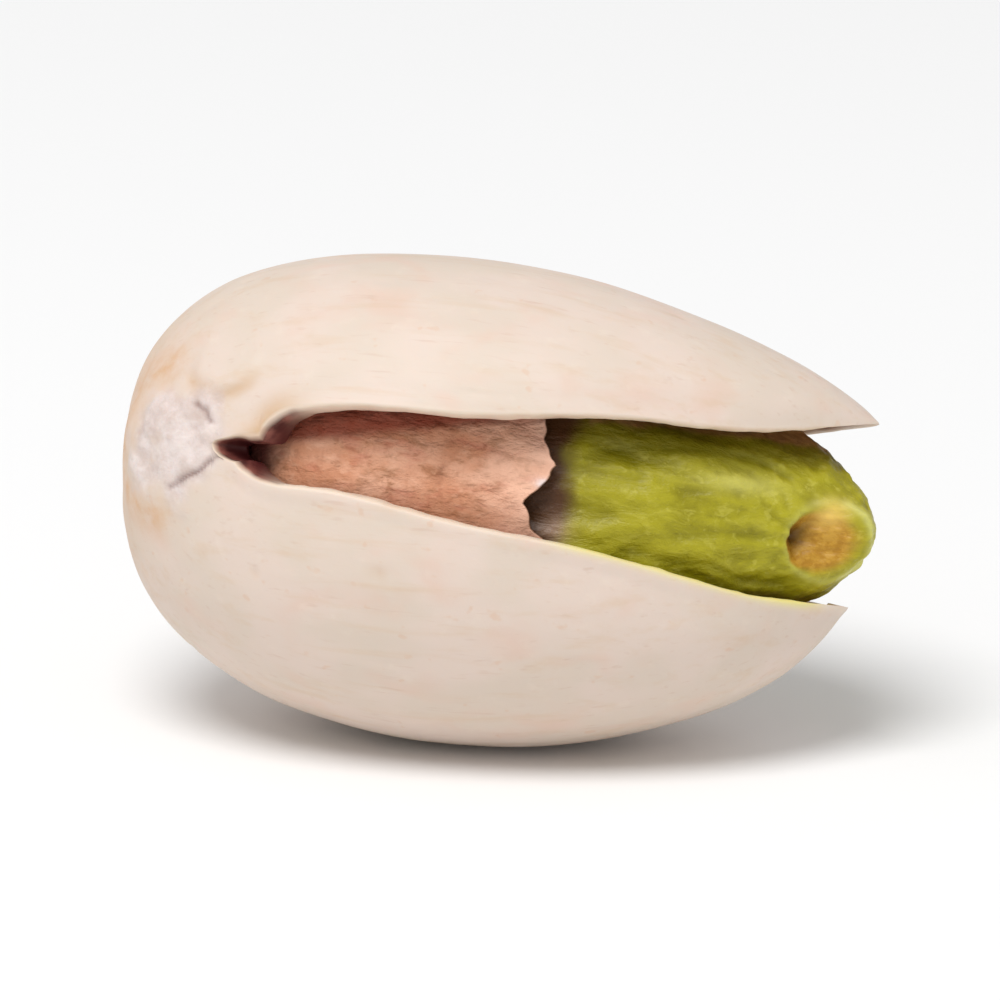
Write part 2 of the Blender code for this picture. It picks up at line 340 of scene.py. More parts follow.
def spring(x):
    """How far a half has moved from the middle at this distance from the stem end."""
    return SPRING_SLOPE * x * x / (x + SPRING_SOFTNESS)


def slant_tip(height, from_tip):
    """Cuts a height down to the straight slant at the lower half's tip, with a rounded corner."""
    slant = np.maximum(LOWER_TIP_SLOPE * from_tip, 1e-6)
    power = LOWER_TIP_CORNER
    return (np.maximum(height, 1e-6) ** -power + slant ** -power) ** (-1.0 / power)


def round_end(x, start, length):
    """Rises from 0 at the start of a split to 1, as the round end of a slot does."""
    share = np.clip((x - start) / length, 0.0, 1.0)
    return np.sqrt(1.0 - (1.0 - share) ** 2)


def near_gap(x, side):
    """How far a near edge is from the middle. side is 1 on the upper half and -1 on the lower one."""
    half = 0 if side > 0 else 1
    hollow, waves = ((UPPER_EDGE_HOLLOW, UPPER_EDGE_WAVES), (LOWER_EDGE_HOLLOW, LOWER_EDGE_WAVES))[half]
    along = np.clip((x - EDGE_WAVES_START) / (SHELL_LENGTH - EDGE_WAVES_START), 0.0, 1.0)
    once, twice = (height * np.sin(2.0 * math.pi * count * along) for count, height in enumerate(waves, 1))
    edge = spring(x) + hollow * np.clip(1.0 - x / EDGE_HOLLOW_END, 0.0, 1.0) + once + twice
    crack = NEAR_CRACK_HALF_GAPS[half] * round_end(x, NEAR_CRACK_START, CRACK_END_LENGTH)
    return np.maximum(crack, round_end(x, NEAR_SPLIT_STARTS[half], NEAR_SPLIT_END_LENGTHS[half]) * edge)


def far_gap(x):
    """How far a far edge is from the middle."""
    return round_end(x, FAR_SPLIT_START, FAR_SPLIT_END_LENGTH) * spring(x)


def row_positions():
    """Distances from the stem end, dense at both ends and where the near split opens, with a row at the
    start of each split."""
    stem = NEAR_CRACK_START * (1.0 - np.cos(np.linspace(0.0, math.pi / 2, STEM_ROWS + 1)))
    crack = np.linspace(NEAR_CRACK_START, NEAR_SPLIT_STARTS[0], CRACK_ROWS + 1)
    both_joined = FAR_SPLIT_START - NEAR_SPLIT_STARTS[0]
    slot = NEAR_SPLIT_STARTS[0] + both_joined * np.linspace(0.0, 1.0, SLOT_ROWS + 1) ** SLOT_CROWDING
    both_open = SHELL_LENGTH - FAR_SPLIT_START
    tip = FAR_SPLIT_START + both_open * np.sin(np.linspace(0.0, math.pi / 2, TIP_ROWS + 1))
    return np.concatenate([stem, crack[1:], slot[1:], tip[1:]])


def edge_round(x, start, side):
    """How far the surfaces stop short of a split's edge, for the edge between them to be round."""
    lip = LIP_ROUND * near_lip(x) if side > 0 and start == NEAR_CRACK_START else 0.0
    ends = ease((x - start) / EDGE_ROUND_START) * ease((SHELL_LENGTH - x) / EDGE_ROUND_END)
    return (EDGE_ROUND + lip) * ends


def near_lip(x):
    """The share of the rounded lip, which is on the upper half where the wide split ends."""
    return np.exp(-((x - LIP_PLACE) / LIP_LENGTH) ** 2)


def half_surface(side, inset, columns):
    """Points of one half's outer surface, or of its inner one if inset, as rows from the stem end and
    columns from the near edge over the back to the far edge."""
    rows = row_positions()
    height = UPPER_HEIGHT if side > 0 else LOWER_HEIGHT
    blunt = UPPER_BLUNT if side > 0 else LOWER_BLUNT
    wall = WALL if inset else 0.0
    along = rows / SHELL_LENGTH
    x = rows + STEM_WALL * (1.0 - along) ** 3 - TIP_WALL * along ** 3 if inset else rows
    moved = spring(x)
    height = np.maximum((height - wall) * swell(along, blunt), 1e-6)
    if side < 0:
        height = slant_tip(height, SHELL_LENGTH - rows)
    near_width = (NEAR_HALF_WIDTH - wall) * swell(along, NEAR_BLUNT)
    far_width = (FAR_HALF_WIDTH - wall) * swell(along, FAR_BLUNT)
    near_edge = near_gap(rows, side) + edge_round(rows, NEAR_CRACK_START, side)
    far_edge = far_gap(rows) + edge_round(rows, FAR_SPLIT_START, side)
    limits = (-EDGE_SINE_LIMIT, EDGE_SINE_LIMIT)
    near_angle = np.arcsin(np.clip((near_edge - moved) / height, *limits))
    far_angle = math.pi - np.arcsin(np.clip((far_edge - moved) / height, *limits))
    across = np.linspace(0.0, 1.0, columns + 1) ** COLUMN_CROWDING
    angle = near_angle[:, None] + (far_angle - near_angle)[:, None] * across
    width = np.where(np.cos(angle) > 0.0, near_width[:, None], far_width[:, None])
    points = np.empty(angle.shape + (3,))
    points[..., 0] = x[:, None]
    points[..., 1] = -width * np.cos(angle)
    points[..., 2] = side * (moved[:, None] + height[:, None] * np.sin(angle))
    points[[0, -1], :, 2] = side * moved[[0, -1], None]
    if side < 0:
        towards_tip = ease((x - FAR_SPLIT_START) / (SHELL_LENGTH - FAR_SPLIT_START))
        points[..., 0] -= LOWER_TIP_BACK * towards_tip[:, None]
    return points


def raise_scar(points):
    """Lifts the outer surface round the stem scar into a low, lumpy knob."""
    share = ease(1.0 - np.linalg.norm(points - np.array(SCAR_CENTRE), axis=-1) / SCAR_REACH)
    lumps = np.sin(points * np.array(SCAR_LUMP_WAVES)).prod(axis=-1)
    return points + np.array(SCAR_OUTWARD) * (share * (SCAR_RISE + SCAR_LUMP * lumps))[..., None]


def join_seams(upper, lower):
    """Gives the two halves one line of points where their edges still meet."""
    rows = row_positions()
    for column, start in ((0, NEAR_CRACK_START), (-1, FAR_SPLIT_START)):
        joined = rows <= start + 1e-9
        middle = (upper[joined, column] + lower[joined, column]) / 2
        middle[:, 2] = 0.0
        upper[joined, column] = middle
        lower[joined, column] = middle


def edge_strip(outer, inner, column, start, side):
    """The round, slightly ragged edge between the outer and inner surfaces, from a split's start to the
    tip."""
    rows = row_positions()
    first = int(np.searchsorted(rows, start - 1e-9))
    share = (1.0 - np.cos(np.linspace(0.0, math.pi, RIM_COLUMNS + 1))) / 2.0
    strip = outer[first:, [column]] * (1.0 - share[:, None]) + inner[first:, [column]] * share[:, None]
    bulge = (1.0 - np.abs(2.0 * share - 1.0) ** 2.5) ** 0.4
    ragged = 1.0 + EDGE_RAGGED / EDGE_ROUND * noise(strip, (0.45, 0.8, 4.0), 61, 3)
    strip[..., 2] -= side * edge_round(rows[first:], start, side)[:, None] * bulge * ragged
    return strip


def from_open_edges(grid):
    """0 along the edges of the splits, 1 a little way from them, for each point of a half's surface."""
    rows = row_positions()[:, None]
    share = np.ones(grid.shape[:2])
    for column, start in ((0, NEAR_CRACK_START), (-1, FAR_SPLIT_START)):
        away = np.linalg.norm(grid - grid[:, [column]], axis=-1)
        share *= 1.0 - ease((rows - start) / EDGE_ROUND_START) * (1.0 - ease(away / EDGE_FLAT))
    return share


def shell_patches():
    """The shell's surfaces as grids of points, each with its kind and whether its faces are turned over, and
    for each point how far it is from the splits' edges (0 to 1) and how deep it lies in the wall (0 to 1)."""
    outer = [raise_scar(half_surface(side, False, OUTER_COLUMNS)) for side in (1, -1)]
    inner = [half_surface(side, True, INNER_COLUMNS) for side in (1, -1)]
    join_seams(*outer)
    join_seams(*inner)
    patches, clear, depth = [], [], []
    for side, out, into in zip((1, -1), outer, inner):
        patches += [(out, OUTER, side > 0), (into, INNER, side < 0)]
        clear += [from_open_edges(out), from_open_edges(into)]
        depth += [np.zeros(out.shape[:2]), np.ones(into.shape[:2])]
        for column, start in ((0, NEAR_CRACK_START), (-1, FAR_SPLIT_START)):
            strip = edge_strip(out, into, column, start, side)
            patches.append((strip, RIM, (column == 0) == (side < 0)))
            clear.append(np.zeros(strip.shape[:2]))
            depth.append(np.broadcast_to(np.linspace(0.0, 1.0, RIM_COLUMNS + 1), strip.shape[:2]))
    clear, depth = (np.concatenate([values.ravel() for values in lists]) for lists in (clear, depth))
    return patches, clear, depth


def weld(patches):
    """Joins grids of points into one mesh, with one vertex where points coincide and no collapsed faces.
    Returns its vertices, its faces, the kind of surface that each vertex lies on and which of the grids'
    points it is."""
    points = np.concatenate([grid.reshape(-1, 3) for grid, kind, flip in patches])
    kinds = np.concatenate([np.full(grid.shape[0] * grid.shape[1], kind) for grid, kind, flip in patches])
    quads = []
    start = 0
    for grid, kind, flip in patches:
        rows, columns = grid.shape[:2]
        corner = (start + np.arange(rows - 1)[:, None] * columns + np.arange(columns - 1)).reshape(-1, 1)
        quad = corner + np.array([0, 1, columns + 1, columns])
        quads.append(quad[:, ::-1] if flip else quad)
        start += rows * columns
    cells = np.round(points / WELD)
    first, welded = np.unique(cells, axis=0, return_index=True, return_inverse=True)[1:]
    rings = [list(dict.fromkeys(quad)) for quad in welded.reshape(-1)[np.concatenate(quads)].tolist()]
    return points[first], [ring for ring in rings if len(ring) > 2], kinds[first], first


def normals_of(points, faces):
    """The outward direction at each vertex."""
    mesh = bpy.data.meshes.new("for_normals")
    mesh.from_pydata(points, [], faces)
    found = np.empty(len(points) * 3)
    mesh.vertices.foreach_get("normal", found)
    bpy.data.meshes.remove(mesh)
    return found.reshape(-1, 3)


def from_split(points):
    """How far each point of the near side is from the outline of the wide split, seen from that side."""
    y, z = points[:, 1], points[:, 2]
    stations = np.linspace(NEAR_CRACK_START, SHELL_LENGTH, SPLIT_STATIONS)
    nearest = np.full(len(points), 9.0)
    for side in (1, -1):
        outline = np.stack([stations, side * near_gap(stations, side)], axis=-1)
        half = (y < 0.0) & (z * side >= 0.0)
        nearest[half] = distance_to_path(points[half][:, [0, 2]], outline)
    return nearest


def overall_relief(points):
    """The shell's slight unevenness, bumps, long ribs and pores."""
    relief = -UNEVEN_DEPTH * (0.5 + 0.5 * noise(points, 6.5, 3, 2))
    relief += BUMP_DEPTH * noise(points, (2.6, 1.5, 1.5), 7, 2)
    relief += RIB_DEPTH * noise(points, (8.0, 0.9, 0.9), 11, 2)
    return relief - PORE_DEPTH * ease((noise(points, (0.8, 0.5, 0.5), 23) - 0.62) / 0.3)


def slanted_distance(points, place):
    """How far each point is from a place, as seen at a slant."""
    return np.linalg.norm((points - np.array(place)) * SLANT, axis=-1)


def lobe_shares(points):
    """How much each point belongs to the raised lobe, and to the shade along its lower edge."""
    height = points[:, 2] - LOBE_CENTRE[2]
    into = LOBE_RADIUS + 0.16 * noise(points, 0.9, 29, 2) - slanted_distance(points, LOBE_CENTRE)
    lobe = ease(into / 0.42 + 0.1) * ease((0.9 - height) / 1.6)
    shade = np.exp(-((into - 0.02) / 0.2) ** 2) * ease((-0.2 - height) / 0.7)
    return lobe, shade


def scar_shares(points):
    """How much each point belongs to the rough scar and to the ochre ring round it."""
    from_centre = slanted_distance(points, ROUGH_CENTRE) / ROUGH_RADIUS
    scar = ease((1.15 - from_centre + 0.35 * noise(points, 0.8, 41, 3)) / 0.6)
    from_ring = np.abs(from_centre - RING_SHARE + 0.15 * noise(points, 0.9, 73, 2))
    ring = ease(1.0 - from_ring / RING_WIDTH) * ease((2.9 - points[:, 0]) / 1.6)
    return scar, ring


def dimple_share(points):
    """How much each point belongs to a dimple."""
    found = np.zeros(len(points))
    for place in DIMPLES:
        away = np.linalg.norm(points - np.array(place), axis=-1)
        found = np.maximum(found, ease(1.0 - away / (2.0 * DIMPLE_RADIUS)))
    return found


def edge_marks(points, kind, depth):
    """The marks along the splits: painted shade on the rounded lip and on the crack's walls, a painted
    highlight on the pale rims and painted yellow light reflected onto the lower rim.
    """
    x, y, z = points.T
    from_edge = from_split(points)
    lip = ease(1.0 - from_edge / LIP_WIDTH) * near_lip(x) * (z > 0.0) * (kind != INNER)
    wall_end = np.where(z > 0.0, *SHADED_WALL_ENDS)
    # Painted shade: dark maroon on the rims' deeper part where the crack's walls are seen in shadow
    channel_painted_shade = ease((wall_end - x) / 1.2) * (y < -2.0) * (kind == RIM) * ease((depth - 0.12) / 0.2)
    # pale: a painted highlight along the near split's edges; glow: painted yellow light reflected from the
    # kernel
    pale = np.exp(-(from_edge / PALE_WIDTH) ** 2) * (kind != INNER) * ease((x - NEAR_SPLIT_STARTS[0]) / 0.8)
    glow = pale * (z < 0.0) * ease((x - GLOW_FROM) / 1.4) * ease((GLOW_TO - x) / 0.8)
    return lip, {"channel_painted_shade": channel_painted_shade, "pale": pale, "glow": glow}


def shell_relief(points, kind, clear, depth):
    """How far each point of the shell moves outwards, and the marks that its finish reads."""
    outside = kind == OUTER
    lobe, lobe_shade = (share * outside for share in lobe_shares(points))
    scar, ring = scar_shares(points)
    scar = scar * (1.0 - lobe) * outside
    rough = noise(points, 0.7, 31, 3)
    shaken = bend(points, CRACK_SHAKE, 0.35, 51)
    cracks = lines(shaken, CRACK_PATHS, CRACK_WIDTH, 0.3) * outside
    dimples = dimple_share(shaken)
    relief = overall_relief(points) * clear + LOBE_RISE * lobe
    relief += scar * (ROUGH_DEPTH * rough + ROUGH_GRAIN * noise(points, 0.3, 47, 2) - ROUGH_SUNK)
    relief -= CRACK_DEPTH * cracks + DIMPLE_DEPTH * dimples

    from_stem = np.linalg.norm(points, axis=-1) - 0.5 * noise(points, 1.4, 71, 2)
    lip, marks = edge_marks(points, kind, depth)
    marks.update({
        "scar": scar,
        # low: painted shade in the hollows of the scar's lumps
        "low": ease(-rough - 0.1) * scar,
        "crack": cracks,
        "stem": ease((STEM_REACH - from_stem) / STEM_FADE) * outside * (1.0 - scar),
        "ring": ring * outside,
        # tan: painted shade on the rounded lip, along the lobe's lower edge and in the dimples
        "tan": np.clip(lip + 0.6 * lobe_shade + 0.4 * dimples, 0.0, 1.0),
        "inside": (kind == INNER).astype(float),
        "rim": (kind == RIM).astype(float),
        "deep": depth * (kind == RIM),
    })
    return relief, marks


def kernel_spine(distance):
    """Where the kernel's middle line is at a distance along it, and which way it heads there."""
    turn_start = KERNEL_LENGTH - KERNEL_TURN_LENGTH
    turn = math.radians(KERNEL_TURN)
    steps = (np.arange(SPINE_STEPS) + 0.5) / SPINE_STEPS
    turned = turn * ease((distance[..., None] * steps - turn_start) / KERNEL_TURN_LENGTH)
    x = distance * np.cos(turned).mean(axis=-1)
    y = -distance * np.sin(turned).mean(axis=-1)
    near_end = ease((distance - turn_start) / KERNEL_TURN_LENGTH)
    z = KERNEL_RISE * distance / KERNEL_LENGTH - KERNEL_SAG * near_end
    place = np.array(KERNEL_START) + np.stack([x, y, z], axis=-1)
    return place, turn * near_end


def kernel_surface(share, angle, grow):
    """Points at a share of the kernel's length and an angle round it, moved outwards by grow."""
    place, heading = kernel_spine(share * (KERNEL_LENGTH + grow) - grow)
    depth = KERNEL_FURROW * np.sin(math.pi * np.clip(share, 0.0, 1.0))
    broad, fine = KERNEL_FURROW_WAVES
    ridges = np.cos(broad * angle + 2.0 * share) + 0.6 * np.cos(fine * angle - 3.0 * share + 1.0)
    thickness = 1.0 + depth * ridges
    sideways = (KERNEL_HALF_WIDTH + grow) * swell(share, KERNEL_SIDE_BLUNT) * thickness * np.cos(angle)
    upwards = (KERNEL_HALF_HEIGHT + grow) * swell(share, KERNEL_HEIGHT_BLUNT) * thickness * np.sin(angle)
    return place + np.stack([sideways * np.sin(heading), sideways * np.cos(heading), upwards], axis=-1)


def full_turn(columns):
    """Angles round a closed ring, ending where they start."""
    return np.linspace(0.0, 2.0 * math.pi, columns + 1)


def kernel_patches():
    """The kernel's whole surface as one grid."""
    share = (1.0 - np.cos(np.linspace(0.0, math.pi, KERNEL_ROWS + 1))) / 2.0
    grid = kernel_surface(*np.broadcast_arrays(share[:, None], full_turn(KERNEL_COLUMNS)), 0.0)
    return [(grid, OUTER, False)]


def kernel_relief(points):
    """How far each point of the kernel moves outwards, and the marks that its finish reads."""
    x, z = points[:, 0], points[:, 2]
    bent = bend(points, 0.45, 2.2, 101)
    wrinkles = 1.0 - 2.0 * np.abs(noise(bent, (4.2, 0.8, 0.8), 107, 2))
    fine = noise(bent, (1.5, 0.26, 0.26), 113, 2)
    pimples = noise(points, (0.28, 0.2, 0.2), 149, 2)
    crease = lines((points + bent) / 2.0, CREASE_PATHS, CREASE_WIDTH, 0.4)
    crease *= np.clip(0.6 + 0.6 * noise(points, (0.9, 0.6, 0.6), 139), 0.0, 1.0)
    relief = WRINKLE_DEPTH * (wrinkles - 1.0) + FINE_WRINKLE_DEPTH * fine + PIMPLE_DEPTH * pimples
    relief -= CREASE_DEPTH * crease

    film_height = z - np.interp(x, *zip(*FILM_EDGE)) + 0.12 * noise(points, (1.4, 0.5, 0.5), 127, 2)
    film = ease(film_height / 0.15) * (x > FILM_FROM)
    relief += FILM_RISE * film
    pit, left, deepest = pit_shares(points)
    from_pit = np.linalg.norm((points - np.array(PIT_CENTRE)) / PIT_RADIUS, axis=-1)
    beyond_pit = 0.35 + 0.65 * ease((x - PIT_CENTRE[0]) / 0.3)
    marks = {
        # ridge: the wrinkles' height, for painted highlights on the ridges and painted shade in the furrows
        "ridge": np.clip(0.5 + 0.3 * wrinkles + 0.35 * fine + 0.2 * pimples, 0.0, 1.0),
        # crease: painted shade along the creases
        "crease": crease,
        "film": film,
        # brown: partly the flesh's own tint, partly painted shade under the skin's lifted edge
        "brown": ease((BARE_FROM - x + 0.25 * noise(points, 0.8, 131, 2)) / 0.7 + 0.5),
        "beige": spot(points, KERNEL_BEIGE_SPOT),
        "shaded": ease((z - SHADED_ABOVE) / 0.9),
        "kernel_painted_highlight": spot(points, KERNEL_HIGHLIGHT_SPOT),
        "pit": ease(pit / (0.30 - 0.14 * left)),
        # Painted highlights: round the pit's rim, and in two spots on the pit and the kernel's upper middle
        "pit_rim_highlight": np.exp(-((from_pit - 1.1) / 0.13) ** 2) * beyond_pit,
        "pit_painted_shade": deepest,
        "pit_painted_highlight": spot(points, PIT_HIGHLIGHT_SPOT),
    }
    return relief, marks


def pit_inwards():
    """The direction into the pit."""
    turn = math.radians(PIT_TURN)
    return np.array([-math.cos(turn), math.sin(turn), 0.0])


def pit_shares(points):
    """How deep in the pit each point of the kernel is, from 0 to 1, how far to its steep side, and how near
    the deepest place. That is off the pit's middle, so that one wall is steep and the other a long slope."""
    inwards = pit_inwards()
    along = np.array([inwards[1], -inwards[0], 0.0])
    away = points + PIT_EDGE_UNEVEN * noise(points, 0.5, 137, 2)[..., None] - np.array(PIT_CENTRE)
    flat = np.stack([away @ along, away[..., 2]], axis=-1) / PIT_RADIUS
    middle = np.array(PIT_OFFSET)
    from_deepest = flat + middle
    towards = from_deepest @ middle
    room = 1.0 - middle @ middle
    ring = (np.sqrt(towards ** 2 + room * (from_deepest ** 2).sum(axis=-1)) - towards) / room
    share = np.clip(1.0 - ring, 0.0, 1.0) * (away @ inwards < PIT_RADIUS)
    left = ease(0.5 - from_deepest[..., 0] / 0.5)
    deepest = np.exp(-((from_deepest + (0.05, 0.0)) ** 2).sum(axis=-1) / 0.09) * (share > 0.0)
    half = PIT_RIM_ROUND / 2.0
    deep = np.where(share < PIT_RIM_ROUND, share * share / (4.0 * half), share - half) / (1.0 - half)
    return deep, left, deepest


def press_pit(points):
    """Presses the pit into the kernel's tip."""
    return points + pit_inwards() * (PIT_DEPTH * pit_shares(points)[0])[..., None]


def facing_near(angle, start):
    """1 where the skin faces the near side, by its angle round the kernel, and 0 round the rest."""
    return ease((-np.cos(angle) - start) / 0.15)


def ring_points(angle):
    """Points on a ring about as wide as the kernel, for noise that closes on itself."""
    return np.stack([np.cos(angle), np.sin(angle), np.zeros_like(angle)], axis=-1) * 4.0


def torn_share(angle):
    """Where the skin ends, as a share of the kernel's length: the torn line on the near side, and one as
    ragged round the rest."""
    height = KERNEL_START[2] + KERNEL_HALF_HEIGHT * np.sin(angle)
    heights, distances = zip(*TORN_EDGE)
    near = np.interp(height, heights, distances)
    facing = facing_near(angle, 0.75)
    ring = ring_points(angle)
    end = near * facing + (TORN_REST + TORN_WANDER * noise(ring, 1.6, 151, 2)) * (1.0 - facing)
    end += TORN_FRAY * noise(ring, 0.35, 157, 2)
    return (end - KERNEL_START[0]) / KERNEL_LENGTH


def skin_patches():
    """The skin's outer and inner surfaces and the thin edge between them."""
    angle = full_turn(SKIN_COLUMNS)
    end = torn_share(angle)
    facing = facing_near(angle, 0.8)
    lift = SKIN_LIFT * facing * (0.45 + 0.55 * noise(ring_points(angle), 0.9, 163, 2))
    surfaces = []
    for rows, kind in ((SKIN_ROWS, OUTER), (SKIN_INNER_ROWS, INNER)):
        along = np.sin(np.linspace(0.0, math.pi / 2, rows + 1))[:, None]
        share = (1.0 - np.sqrt(1.0 - along * along * 0.999)) * end
        near_edge = ease(1.0 - (end - share) * KERNEL_LENGTH / SKIN_EDGE_LENGTH)
        thickness = SKIN_THICKNESS * (1.0 - SKIN_EDGE_THINNING * near_edge) if kind == INNER else 0.0
        from_plump = (share * KERNEL_LENGTH - SKIN_PLUMP_PLACE) / SKIN_PLUMP_LENGTH
        plump = SKIN_PLUMP * facing * np.exp(-from_plump ** 2)
        grow = SKIN_CLEARANCE + SKIN_THICKNESS - thickness + lift * near_edge + plump
        angles = np.broadcast_to(angle, share.shape)
        surfaces.append(kernel_surface_grown(share, angles, grow))
    outer, inner = surfaces
    return [(outer, OUTER, False), (inner, INNER, True), (np.stack([outer[-1], inner[-1]]), RIM, False)]


def kernel_surface_grown(share, angle, grow):
    """As kernel_surface, with a distance outwards that differs from point to point."""
    base = SKIN_CLEARANCE
    points = kernel_surface(share, angle, base)
    beyond = kernel_surface(share, angle, base + 1.0)
    return points + (beyond - points) * (grow - base)[..., None]


def line_height(line, x):
    """How high a straight line is at x, from its height at the stem end and its slope."""
    start, slope = line
    return start + slope * x


def skin_relief(points, kind):
    """How far each point of the skin moves outwards, and the marks that its finish reads."""
    x, y, z = points.T
    bent = bend(points, 0.35, 1.4, 171)
    folds = noise(bent, (1.1, 0.7, 0.7), 179, 3)
    crack = lines(bent, (SKIN_CRACK,), SKIN_CRACK_WIDTH, 0.3)
    relief = SKIN_FOLD_DEPTH * folds + SKIN_TUFT_DEPTH * noise(bent, (0.4, 0.28, 0.28), 191, 2)
    relief += SKIN_FIBRE_DEPTH * noise(bent, (0.28, 0.9, 0.9), 181, 2)
    relief -= SKIN_CRACK_DEPTH * crack * (kind == OUTER)
    angle = np.arctan2(z - KERNEL_START[2], -(y - KERNEL_START[1]))
    end = KERNEL_START[0] + KERNEL_LENGTH * torn_share(math.pi - angle)
    marks = {
        # fold: the folds' height, for a painted highlight on their crests
        "fold": np.clip(0.5 + 0.5 * folds, 0.0, 1.0),
        "edge": ease(1.0 - (end - x) / SKIN_PALE_BAND),
        "flake": spot(points, SKIN_FLAKE_SPOT),
        # upper, lower and start: painted shade under the upper rim, towards the lower rim, and in the
        # opening's end
        "upper": ease((z - line_height(SKIN_UPPER_LINE, x)) / 0.4),
        "lower": ease((line_height(SKIN_LOWER_LINE, x) - z) / 0.75),
        "start": ease((SKIN_SHADED_BEFORE - x) / 0.6),
        "crack": crack,
        "inside": (kind == INNER).astype(float),
    }
    return np.where(kind == OUTER, relief, np.minimum(relief, 0.0) * 0.5), marks


def nut_pose():
    """The matrix that lays the nut's own axes down where the frame has them: turned as it lies, and placed
    by the kernel's box."""
    turn = Matrix.Rotation(math.radians(TIP_DOWN), 3, "Y") @ Matrix.Rotation(math.radians(-ROLL), 3, "X")
    grid = press_pit(kernel_patches()[0][0]).reshape(-1, 3) @ np.array(turn).T * MM
    low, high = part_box("kernel")
    middle = (np.array(low) + np.array(high)) / 2
    return Matrix.Translation(middle - (grid.min(axis=0) + grid.max(axis=0)) / 2) @ turn.to_4x4()


def make_piece(name, node, points, faces, marks, pose, material):
    """A smooth mesh piece in place of a node of the frame, laid down by the pose and never below the
    ground. Its marks, and its points' places in the nut's own axes, are stored on its points."""
    laid = points @ np.array(pose.to_3x3()).T * MM + np.array(pose.translation)
    laid[:, 2] = np.maximum(laid[:, 2], 0.0)
    mesh = bpy.data.meshes.new(name)
    mesh.from_pydata(laid, [], faces)
    for mark, values in marks.items():
        layer = mesh.attributes.new(mark, "FLOAT", "POINT")
        layer.data.foreach_set("value", values.astype(np.float32))
    own_place = mesh.attributes.new("own_place", "FLOAT_VECTOR", "POINT")
    own_place.data.foreach_set("vector", points.astype(np.float32).ravel())
    mesh.update()
    mesh.shade_smooth()
    mesh.materials.append(material)
    piece = bpy.data.objects.new(name, mesh)
    bpy.context.collection.objects.link(piece)
    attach(piece, "root")
    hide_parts(node)
    return piece


def linear(red, green, blue):
    """A colour given as on a screen, from 0 to 255, as the linear values that a shader takes."""
    shares = [value / 255.0 for value in (red, green, blue)]
    return tuple(s / 12.92 if s <= 0.04045 else ((s + 0.055) / 1.055) ** 2.4 for s in shares) + (1.0,)


class Recipe:
    """A material under construction. Each method adds one node and returns its output."""

    def __init__(self, name):
        self.material = bpy.data.materials.new(name)
        self.material.use_nodes = True
        self.tree = self.material.node_tree
        self.shader = self.tree.nodes["Principled BSDF"]
        self.place = self.add("ShaderNodeAttribute", attribute_name="own_place").outputs["Vector"]

    def add(self, kind, inputs=None, **settings):
        """Adds a node with its settings, and feeds its inputs by name or number."""
        node = self.tree.nodes.new(kind)
        for setting, value in settings.items():
            setattr(node, setting, value)
        for socket, value in (inputs or {}).items():
            self.feed(node.inputs[socket], value)
        return node

    def feed(self, socket, value):
        """Links another node's output to an input, or sets the input to a constant."""
        if isinstance(value, bpy.types.NodeSocket):
            self.tree.links.new(value, socket)
        else:
            socket.default_value = value

    def mark(self, name):
        """A mark that was stored on the piece's points."""
        return self.add("ShaderNodeAttribute", attribute_name=name).outputs["Fac"]

    def grain(self, size, detail=3.0, roughness=0.55, warp=0.0):
        """Noise from 0 to 1 with lumps of a size in millimetres along each of the nut's axes."""
        scaled = self.add("ShaderNodeVectorMath", {0: self.place, 1: size}, operation="DIVIDE")
        inputs = {"Vector": scaled.outputs[0], "Scale": 1.0, "Detail": detail, "Roughness": roughness}
        return self.add("ShaderNodeTexNoise", {**inputs, "Distortion": warp}).outputs["Fac"]

    def spread(self, value, low, high):
        """Stretches the stretch of a value from low to high over 0 to 1."""
        inputs = {"Value": value, "From Min": low, "From Max": high}
        return self.add("ShaderNodeMapRange", inputs, interpolation_type="SMOOTHSTEP").outputs["Result"]

    def times(self, first, second):
        return self.add("ShaderNodeMath", {0: first, 1: second}, operation="MULTIPLY").outputs[0]

    def plus(self, first, second):
        return self.add("ShaderNodeMath", {0: first, 1: second}, operation="ADD").outputs[0]

    def blend(self, share, first, second):
        """One colour or the other, by a share from 0 to 1."""
        node = self.add("ShaderNodeMix", data_type="RGBA")
        for index, value in ((0, share), (6, first), (7, second)):
            self.feed(node.inputs[index], value)
        return node.outputs[2]

    def tint(self, colour, share, strength, tone):
        """Moves a colour towards a tone, given as on a screen, by a share times a strength."""
        return self.blend(self.times(share, strength), colour, linear(*tone))

    def bump(self, height, distance, strength=1.0, onto=None):
        inputs = {"Height": height, "Distance": distance * MM, "Strength": strength}
        if onto is not None:
            inputs["Normal"] = onto
        return self.add("ShaderNodeBump", inputs).outputs["Normal"]

    def finish(self, colour, roughness, normal, **constants):
        self.feed(self.shader.inputs["Base Color"], colour)
        self.feed(self.shader.inputs["Roughness"], roughness)
        self.feed(self.shader.inputs["Normal"], normal)
        for socket, value in constants.items():
            self.shader.inputs[socket.replace("_", " ")].default_value = value
        return self.material


